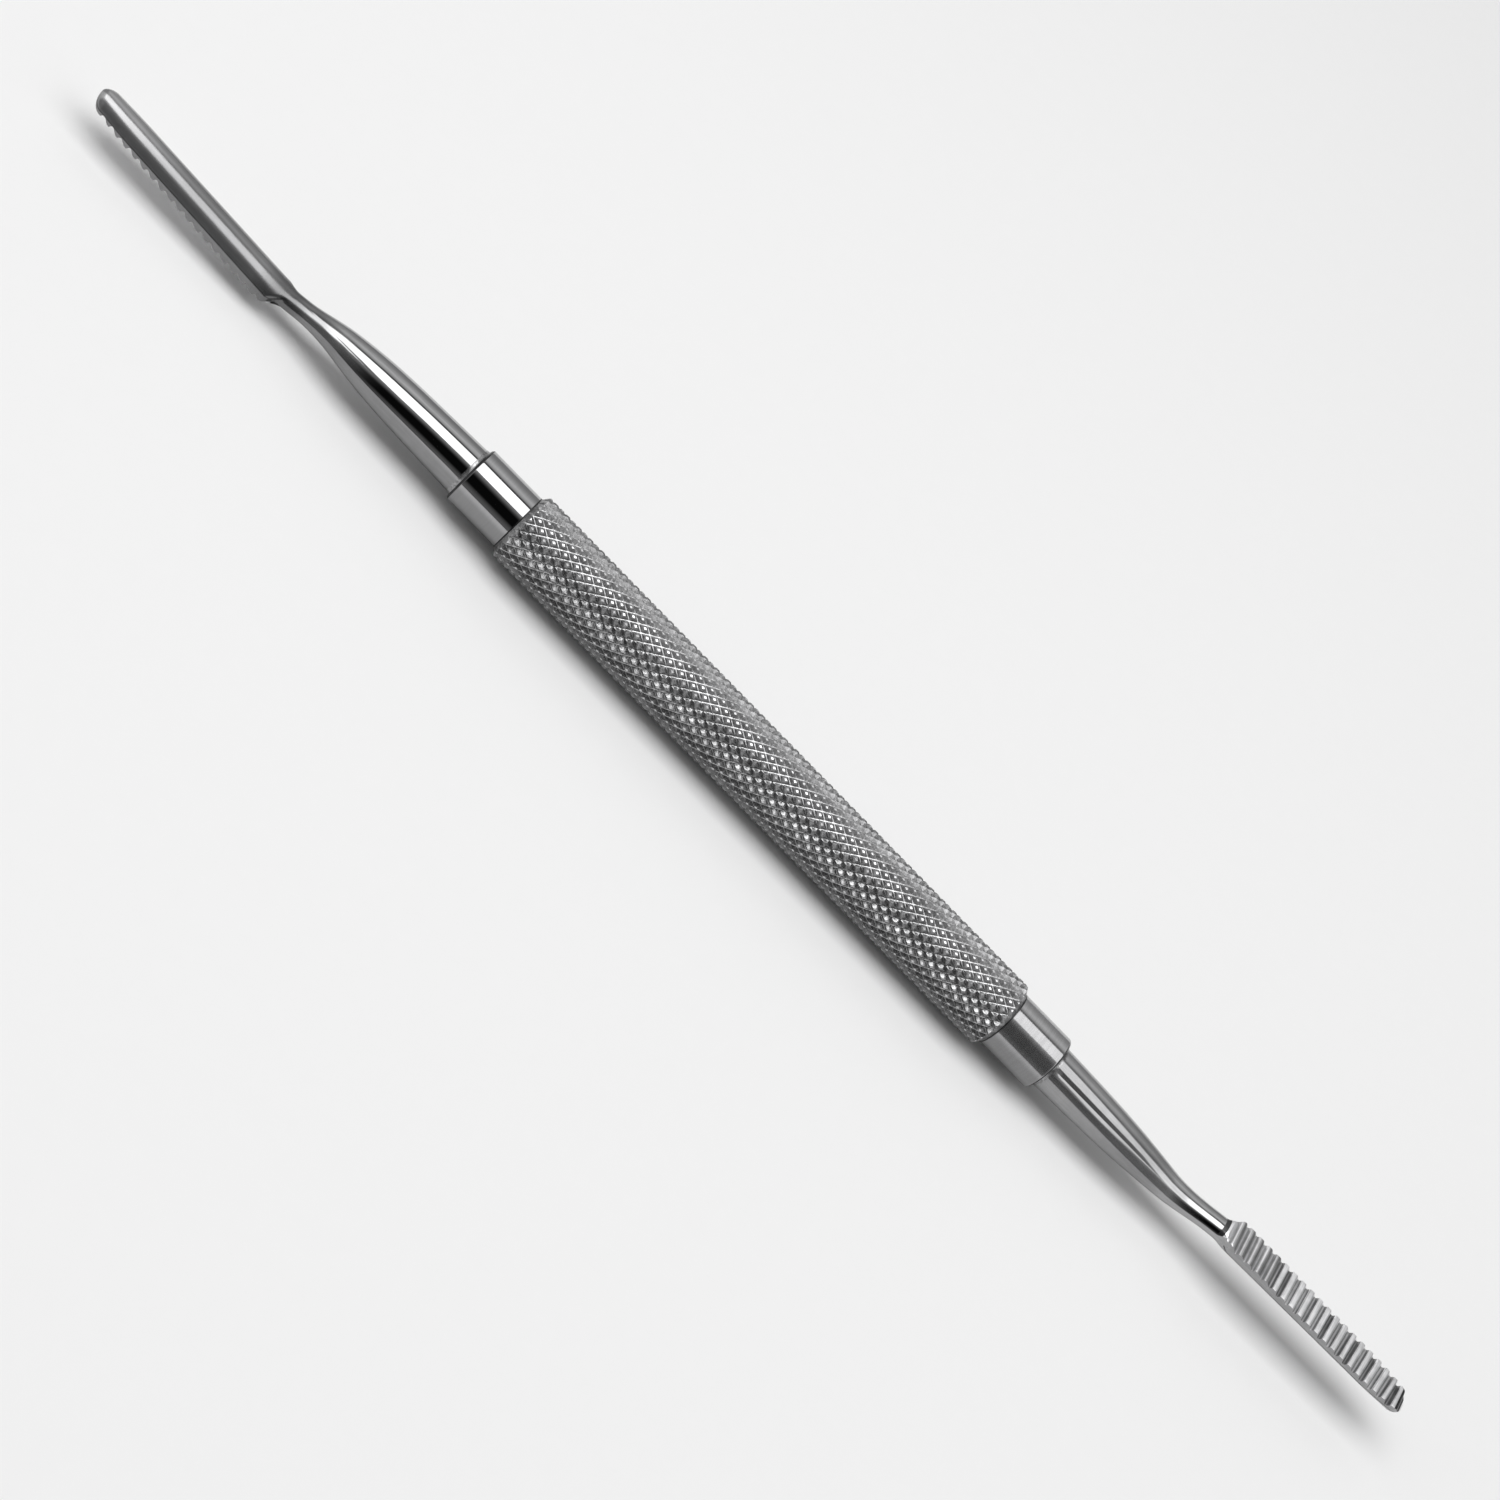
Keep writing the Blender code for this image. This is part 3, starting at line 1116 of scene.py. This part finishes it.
        # Painted shade at the start of the ramp and before the nose.
        if ramp < PaintBand.RAMP_CREASE_END:
            return BladeSkin.CREASE
        if self.nose_step > 0 and PaintBand.NOSE_CREASE.holds(to_tip):
            return BladeSkin.CREASE
        if ramp < PaintBand.RAMP_LAND_END:
            return BladeSkin.LIT_LAND
        if along < self.streaked_length:
            return self._root_skin(along)
        for depth, across in self._grooves_near(along):
            plain = blend(self.groove_depth_root, self.groove_depth_tip, self._blade_share(along))
            # Painted shade: deeper grooves keep the darker wall steel on their floors.
            if PaintBand.GROOVE_FLOOR.holds(across) and depth < plain * self.deepest_floor:
                return BladeSkin.FLOOR
            if PaintBand.GROOVE_WALL.holds(across):
                return BladeSkin.WALL
        return BladeSkin.LIT_LAND

    def _root_skin(self, along: float) -> BladeSkin:
        """Finish of the first teeth: a bright edge of painted highlight, and a grey back and a dark heel of
        painted shade.

        Args:
            along: Distance from the blade's root.

        Returns:
            The finish.
        """
        for _, across in self._grooves_near(along):
            if PaintBand.ROOT_WALL.holds(across):
                return BladeSkin.WALL
            if PaintBand.ROOT_LAND.holds(across):
                return BladeSkin.LIT_LAND
        return BladeSkin.FLOOR

    def _grooves_near(self, along: float) -> list[Point2]:
        """Finds the grooves nearest to a place on the blade.

        Args:
            along: Distance from the blade's root.

        Returns:
            Depth of each groove, and the place in half widths from its middle.
        """
        room = self.blade_length - self.first_groove - self.last_groove_margin
        nearest = round((along - self.first_groove) / self.tooth_pitch)
        grooves = []
        for tooth in (nearest - 1, nearest, nearest + 1):
            if not 0 <= tooth <= int(room / self.tooth_pitch):
                continue
            middle = self.first_groove + tooth * self.tooth_pitch
            share = middle / self.blade_length
            depth = blend(self.groove_depth_root, self.groove_depth_tip, share)
            depth *= 1 + self.groove_unevenness * math.sin(self.groove_uneven_turn * tooth)
            half = blend(self.groove_width_root, self.groove_width_tip, share) / 2
            grooves.append((depth, (along - middle) / half))
        return grooves

    def _groove_floor(self, along: float) -> float:
        """Height of the filed face against its crests.

        Args:
            along: Distance from the blade's root.

        Returns:
            The height, at most 0.
        """
        lowest = 0.0
        for depth, across in self._grooves_near(along):
            for (x0, z0), (x1, z1) in zip(GROOVE_FORM, GROOVE_FORM[1:]):
                if x0 <= across <= x1:
                    lowest = min(lowest, depth * blend(z0, z1, (across - x0) / (x1 - x0)))
        return lowest

    def _soft_floor(self, along: float) -> float:
        """The filed face with its sharp edges just broken."""
        shifts = (-self.edge_break, 0.0, self.edge_break)
        return sum(self._groove_floor(along + shift) for shift in shifts) / len(shifts)

    def _shank(self, reach: float) -> list[Point2]:
        """Oval outline of the shank and neck.

        Args:
            reach: Distance outwards from the mouth.

        Returns:
            Points as (y, z) from the handle's axis.
        """
        share = min(reach / self.shank_length, 1.0)
        drop = math.cos(math.pi / 2 * share ** self.shank_fullness) ** 2
        taper = blend(drop, 1 - share, self.shank_straight_share)
        radius = blend(self.neck_radius, self.shank_radius, taper)
        flat = self.neck_flattening * ease(share)
        crank = ease((reach - self.crank_start) / self.crank_length)
        middle = crank * (self.crest_height - (self.wall_root + self.back_rise) / 2)
        points = []
        for turn in self._turns():
            points.append((
                radius * (1 + flat) * math.sin(turn),
                middle + radius * (1 - flat) * math.cos(turn),
            ))
        return points

    def _turns(self) -> list[float]:
        """Spaces the oval's points like those of the blade's outline.

        Returns:
            Their angles from straight up.
        """
        top = self.top_turn
        wall = self.wall_turn
        turns = [blend(-top, top, i / self.top_columns) for i in range(self.top_columns + 1)]
        turns += [blend(top, wall, i / self.wall_columns) for i in range(1, self.wall_columns + 1)]
        back = 2 * math.pi - 2 * wall
        turns += [wall + back * i / self.back_columns for i in range(1, self.back_columns + 1)]
        rising = range(1, self.wall_columns)
        return turns + [2 * math.pi - blend(wall, top, i / self.wall_columns) for i in rising]

    def _blade(self, reach: float) -> list[Point2]:
        """D-shaped outline of the blade with its filed face.

        Args:
            reach: Distance outwards from the mouth.

        Returns:
            Points as (y, z) from the handle's axis.
        """
        along = reach - self.root
        inner = max(along, 0.0)
        share = inner / self.blade_length
        edge = self.crest_height + self.blade_slope * inner
        edge -= blend(self.wall_root, self.wall_tip, share)
        near_tip = max(inner - self.blade_length + self.tip_taper_length, 0.0) / self.tip_taper_length
        half = blend(self.half_width_root, self.half_width_tip, share)
        half *= 1 - self.tip_taper * near_tip ** self.taper_power
        step = ease((inner - self.blade_length + self.nose_step_setback) / self.nose_step_length)
        face = self._crest(inner) - self.nose_step * step + self._soft_floor(along)
        points = []
        for i in range(self.top_columns + 1):
            y = blend(-half, half, i / self.top_columns)
            inset = max(abs(y) - half + self.edge_round, 0.0) / self.edge_round
            fall = 1 - math.sqrt(1 - inset * inset * self.edge_fullness)
            points.append((y, face - self.edge_round * fall))
        for i in range(1, self.wall_columns + 1):
            points.append((half, blend(face - self.edge_round, edge, i / self.wall_columns)))
        radius = (half ** 2 + self.back_rise ** 2) / (2 * self.back_rise)
        reach_angle = math.asin(min(half / radius, 1.0))
        for i in range(1, self.back_columns + 1):
            angle = blend(reach_angle, -reach_angle, i / self.back_columns)
            drop = radius * (math.cos(angle) - math.cos(reach_angle))
            points.append((radius * math.sin(angle), edge - drop))
        for i in range(1, self.wall_columns):
            points.append((-half, blend(edge, face - self.edge_round, i / self.wall_columns)))
        return points

    def _outline(self, reach: float, nose: float) -> list[Point3]:
        """Ring of places at a distance from the mouth.

        Args:
            reach: Distance outwards from the mouth.
            nose: Share to which the nose has shrunk.

        Returns:
            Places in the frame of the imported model.
        """
        shank = self._shank(reach)
        blade = self._blade(reach)
        along = reach - self.root
        ramp = ease(self._ramp(along))
        centre = self._crest(along) - self.nose_depth
        points = []
        for column, ((shank_y, shank_z), (blade_y, blade_z)) in enumerate(zip(shank, blade)):
            shoulder = ease(self._shoulder(along, blade_y / self.half_width_root))
            y = blend(shank_y, blade_y, shoulder)
            z = blend(shank_z, blade_z, ramp if column <= self.top_columns else shoulder)
            points.append((y * nose, blend(centre, z, nose)))
        return self._place(reach, points, ease((along + self.lean_start) / self.lean_start))

    def _place(self, reach: float, points: Sequence[Point2], lean: float) -> list[Point3]:
        """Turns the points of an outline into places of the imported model.

        Args:
            reach: Distance outwards from the mouth.
            points: Points as (y, z) from the handle's axis.
            lean: Share of the grooves' lean that the outline takes.

        Returns:
            The places.
        """
        skew = self._skew(reach - self.root) * lean
        places = []
        for y, z in points:
            x = self.mouth + reach + skew * y
            places.append((self.side * x, y, self.axis_height + self.side * z))
        return places


@dataclass
class BrazeRing:
    """Thin bead of braze where a shank enters its collar."""

    name: str
    side: int
    shank_radius: float
    slot: str
    mouth: float
    axis_height: float
    bead: float = 0.11 * MM
    length: float = 0.42 * MM
    clearance: float = 0.01 * MM
    overlap: float = 0.03 * MM
    columns: int = 96
    form: tuple[Point2, ...] = ((0.0, 1.0), (0.25, 0.55), (0.60, 0.18), (1.0, 0.0), (0.0, 0.0))

    def build(self) -> bpy.types.Object:
        """Builds the bead.

        Returns:
            The piece.
        """
        piece = MeshPiece(self.name)
        rings = []
        for out, up in self.form:
            x = self.side * (self.mouth + out * self.length - self.overlap)
            radius = self.shank_radius + up * self.bead + self.clearance
            rings.append(piece.round_ring(x, radius, self.axis_height, self.columns))
        piece.skin(rings + rings[:1])
        finish = SteelFinish(
            self.name + "_steel", dark=0.20, light=0.42, stations=even(0.20, 0.92),
            grain=Grain.SPECKLE, grain_per_mm=4.0, grain_mm=0.004,
        )
        return piece.finish([finish.material()], self.slot, None)


@dataclass(frozen=True)
class SoftboxPart:
    """One lamp of the overhead softbox, from its left end to its right end."""

    left: float
    right: float
    watts: float


@dataclass
class Studio:
    """Pale table, overhead softbox and dim room.

    The room and its ends are greys over the share of the way from the camera's side to the
    far side. Their spreads are squares of how far a direction points along the handle.
    """

    table_half: float = 3.0
    table_grey: float = 0.88
    table_mottle: float = 0.01
    table_roughness: float = 0.9
    table_gloss: float = 0.1
    paper_per_mm: float = 0.4
    softbox_height: float = 0.60
    softbox_across: float = 0.40
    softbox: tuple[SoftboxPart, ...] = (
        SoftboxPart(left=-0.50, right=0.15, watts=2.14),
        SoftboxPart(left=0.15, right=0.50, watts=0.66),
    )
    room: tuple[Point2, ...] = (
        (0.00, 0.20), (0.02, 0.10), (0.04, 0.006), (0.19, 0.006), (0.23, 0.07), (0.29, 0.30),
        (0.34, 0.45), (0.64, 0.45), (0.665, 0.08), (0.70, 0.12), (0.73, 0.50), (0.77, 0.80),
        (0.83, 1.00), (0.92, 0.62), (0.98, 0.40),
    )
    ends: tuple[Point2, ...] = (
        (0.00, 0.22), (0.26, 0.22), (0.36, 1.00), (0.43, 0.78), (0.60, 0.78), (0.68, 0.22),
        (1.00, 0.16),
    )
    side_grey: float = 0.33
    side_spread: Point2 = (0.03, 0.20)
    end_spread: Point2 = (0.14, 0.26)
    end_glow: float = 1.25
    room_strength: float = 0.91

    def build(self) -> None:
        """Adds the table, the softbox and the world."""
        self._add_table()
        for number, part in enumerate(self.softbox):
            lamp = bpy.data.lights.new(f"softbox_{number}", "AREA")
            lamp.shape = "RECTANGLE"
            lamp.size = part.right - part.left
            lamp.size_y = self.softbox_across
            lamp.energy = part.watts
            holder = bpy.data.objects.new(lamp.name, lamp)
            holder.location = ((part.left + part.right) / 2, 0.0, self.softbox_height)
            bpy.context.collection.objects.link(holder)
        self._add_room()

    def _add_table(self) -> None:
        """Adds the table top."""
        mesh = bpy.data.meshes.new("table_top")
        half = self.table_half
        corners = [(-half, -half, 0), (half, -half, 0), (half, half, 0), (-half, half, 0)]
        mesh.from_pydata(corners, [], [(0, 1, 2, 3)])
        material, sheet = new_material("pale_table")
        paper = sheet.noise(sheet.place(), Grain.SPECKLE, self.paper_per_mm)
        level = (paper - 0.5) * self.table_mottle + self.table_grey
        sheet.surface({
            "Base Color": sheet.grey(level, PLAIN_TINT),
            "Roughness": self.table_roughness,
            "Specular IOR Level": self.table_gloss,
        })
        mesh.materials.append(material)
        table = bpy.data.objects.new("table_top", mesh)
        bpy.context.collection.objects.link(table)

    def _add_room(self) -> None:
        """Lights the room dimly, darker on the camera's side than behind the file."""
        world = bpy.data.worlds.new("dim_room")
        bpy.context.scene.world = world
        world.use_nodes = True
        sheet = ShaderSheet(world.node_tree)
        direction = sheet.node("ShaderNodeTexCoord", output="Generated")
        depth = sheet.axis(direction, "Y")
        aside = sheet.axis(direction, "X")
        spread = aside * aside
        where = depth * 0.5 + 0.5
        walls = sheet.node("ShaderNodeValToRGB", {"stops": self.room}, {"Fac": where})
        side_colour = (self.side_grey,) * 3 + (1.0,)
        sides = sheet.mix(spread.span(*self.side_spread), walls, side_colour, "LIGHTEN")
        ends = sheet.node("ShaderNodeValToRGB", {"stops": self.ends}, {"Fac": where})
        glow = sheet.node("ShaderNodeVectorMath", {"operation": "SCALE"}, {0: ends, "Scale": self.end_glow})
        colour = sheet.mix(spread.span(*self.end_spread), sides, glow)
        shader = sheet.node("ShaderNodeBackground", None, {"Color": colour, "Strength": self.room_strength})
        sheet.node("ShaderNodeOutputWorld", None, {"Surface": shader})


@dataclass
class PhotoCamera:
    """Camera at the photograph's place, fitted to the file's outline.

    Its lengths in pixels are in those of the photograph.
    """

    axis_height: float
    turn_degrees: float = 6.0
    elevation_degrees: float = 46.0
    roll_degrees: float = 45.5987
    distance: float = 0.300
    focal_pixels: float = 3136.0
    image_pixels: float = 1500.0
    aim_along: float = -2.46 * MM
    aim_up_pixels: float = 6.75
    sensor_mm: float = 36.0
    nearest: float = 0.01

    def build(self) -> bpy.types.Object:
        """Adds the camera and makes it the scene's own.

        Returns:
            The camera.
        """
        turn = math.radians(self.turn_degrees)
        elevation = math.radians(self.elevation_degrees)
        back = Vector((
            -math.sin(turn),
            -math.cos(turn) * math.cos(elevation),
            math.cos(turn) * math.sin(elevation),
        ))
        along = Vector((
            math.cos(turn),
            -math.sin(turn) * math.cos(elevation),
            math.sin(turn) * math.sin(elevation),
        ))
        across = back.cross(along)
        roll = math.radians(self.roll_degrees)
        right = along * math.cos(roll) + across * math.sin(roll)
        up = across * math.cos(roll) - along * math.sin(roll)
        lift = across * (self.aim_up_pixels * self.distance / self.focal_pixels)
        aim = Vector((self.aim_along, 0.0, self.axis_height)) + lift
        data = bpy.data.cameras.new("photo_camera")
        data.sensor_width = self.sensor_mm
        data.lens = self.sensor_mm * self.focal_pixels / self.image_pixels
        data.clip_start = self.nearest
        camera = bpy.data.objects.new("photo_camera", data)
        bpy.context.collection.objects.link(camera)
        axes = Matrix((right, up, back)).transposed().to_4x4()
        camera.matrix_world = Matrix.Translation(aim + back * self.distance) @ axes
        bpy.context.scene.camera = camera
        return camera


# Finish of the tooth lands, lighter than the grooves as a painted highlight, on the right end; the left end
# takes it mirrored.
LAND_STATIONS: tuple[Station, ...] = (
    (62.0 * MM, 0.30, 0.90, 1.00),
    (70.0 * MM, 0.32, 0.90, 0.95),
    (71.0 * MM, 0.38, 0.90, 1.05),
    (90.0 * MM, 0.38, 0.90, 0.92),
)


def tooth_finishes(side: str, stations: tuple[Station, ...]) -> tuple[SteelFinish, ...]:
    """Finishes of one toothed face.

    Args:
        side: Name of its end.
        stations: How the lands change along the file.

    Returns:
        Finishes of the lands with a painted highlight, of the groove walls and floors in painted shade and
        of the creases in darker painted shade, as BladeSkin orders them.
    """
    filed = {"grain": Grain.ACROSS, "grain_mm": 0.002}
    return (
        SteelFinish(
            side + "_land_steel", dark=0.70, light=1.00, stations=stations, grain_per_mm=3.0, **filed
        ),
        SteelFinish(
            side + "_wall_steel", dark=0.19, light=0.31, stations=even(0.35, 0.90), grain_per_mm=4.0,
            **filed,
        ),
        SteelFinish(
            side + "_floor_steel", dark=0.38, light=0.56, stations=even(0.34, 0.90), grain_per_mm=4.0,
            **filed,
        ),
        SteelFinish(
            side + "_crease_steel", dark=0.04, light=0.08, stations=even(0.35, 0.90),
            grain=Grain.ALONG, grain_per_mm=4.0, grain_mm=0.002,
        ),
    )


def left_end(handle: KnurledHandle) -> FileEnd:
    """Sizes and finishes of the left end, whose teeth face down.

    Args:
        handle: The handle that it is brazed into.

    Returns:
        The end, not yet built.
    """
    body = SteelFinish(
        "left_end_steel", dark=0.38, light=0.425, stations=(
            (-90.0 * MM, 0.20, 0.68, 0.90),
            (-67.0 * MM, 0.20, 0.68, 0.90),
            (-64.5 * MM, 0.30, 0.84, 0.60),
            (-62.5 * MM, 0.22, 0.92, 0.60),
            (-60.5 * MM, 0.16, 0.96, 0.95),
            (-57.0 * MM, 0.14, 0.97, 0.90),
            (-53.5 * MM, 0.06, 1.00, 1.00),
            (-40.0 * MM, 0.05, 1.00, 1.00),
        ), grain=Grain.ALONG, grain_per_mm=5.0, grain_mm=0.0012,
        flute=Flute(
            handle.axis_height, start=-62.0 * MM, end=-50.0 * MM, depth_mm=0.016, fade_in=4.0 * MM,
            fade_out=5.0 * MM,
        ),
        under_shade=COLLAR_UNDER_SHADE,
    )
    lands = tuple((-x, *rest) for x, *rest in reversed(LAND_STATIONS))
    return FileEnd(
        name="left_blade", node="left_file_end", slot="polished_steel", side=-1,
        shank_radius=2.72 * MM, shank_fullness=2.5, neck_radius=1.07 * MM, crest_height=2.20 * MM,
        blade_slope=math.tan(math.radians(-3.6)), wall_root=1.05 * MM, wall_tip=0.98 * MM,
        blade_length=23.58 * MM, face_bow=0.66 * MM, ramp_length=2.2 * MM, ramp_end=0.7 * MM,
        tip_taper=0.17, nose_step=0.0, tooth_pitch=1.233 * MM, first_groove=0.60 * MM,
        groove_depth_tip=0.48 * MM, groove_width_tip=1.14 * MM, groove_skew_root=0.0,
        groove_skew_tip=0.0, finishes=(body, *tooth_finishes("left", lands)),
        mouth=handle.half_length, axis_height=handle.axis_height,
    )


def right_end(handle: KnurledHandle) -> FileEnd:
    """Sizes and finishes of the right end, whose teeth face up.

    Args:
        handle: The handle that it is brazed into.

    Returns:
        The end, not yet built.
    """
    body = SteelFinish(
        "right_end_steel", dark=0.355, light=0.41, stations=(
            (40.0 * MM, 0.13, 0.86, 0.88),
            (47.0 * MM, 0.13, 0.86, 0.84),
            (52.0 * MM, 0.14, 0.86, 0.68),
            (54.5 * MM, 0.14, 0.88, 0.72),
            (57.0 * MM, 0.13, 0.90, 0.96),
            (60.0 * MM, 0.10, 0.97, 1.00),
            (61.5 * MM, 0.06, 1.00, 1.00),
            (63.5 * MM, 0.08, 1.00, 1.00),
            (65.0 * MM, 0.32, 0.88, 0.88),
            (90.0 * MM, 0.32, 0.88, 0.88),
        ), grain=Grain.ALONG, grain_per_mm=5.0, grain_mm=0.0012,
        flute=Flute(
            handle.axis_height, start=40.0 * MM, end=57.0 * MM, depth_mm=0.130, fade_in=1.0 * MM,
            fade_out=12.0 * MM,
        ),
    )
    return FileEnd(
        name="right_blade", node="right_file_end", slot="satin_steel", side=1,
        shank_radius=2.44 * MM, shank_fullness=1.8, neck_radius=1.17 * MM, crest_height=2.42 * MM,
        blade_slope=0.0, wall_root=1.08 * MM, wall_tip=0.62 * MM,
        blade_length=24.0 * MM, face_bow=0.0, ramp_length=1.65 * MM, ramp_end=-0.25 * MM,
        tip_taper=0.28, nose_step=0.38 * MM, tooth_pitch=1.209 * MM, first_groove=-0.85 * MM,
        groove_depth_tip=0.52 * MM, groove_width_tip=0.88 * MM, groove_skew_root=-0.03,
        groove_skew_tip=0.14, finishes=(body, *tooth_finishes("right", LAND_STATIONS)),
        mouth=handle.half_length, axis_height=handle.axis_height,
    )


def main() -> None:
    """Builds the file's pieces, the studio and the camera."""
    logging.basicConfig(level=logging.INFO, format="%(name)s %(message)s")
    bpy.context.scene.view_settings.view_transform = "Standard"
    handle = KnurledHandle()
    ends = (left_end(handle), right_end(handle))
    handle.build({end.side: end.shank_radius for end in ends})
    for end in ends:
        end.build()
        BrazeRing(
            end.name + "_braze", end.side, end.shank_radius, end.slot, end.mouth, end.axis_height
        ).build()
    Studio().build()
    PhotoCamera(handle.axis_height).build()
    LOG.info("sizes written")


if __name__ == "__main__":
    main()
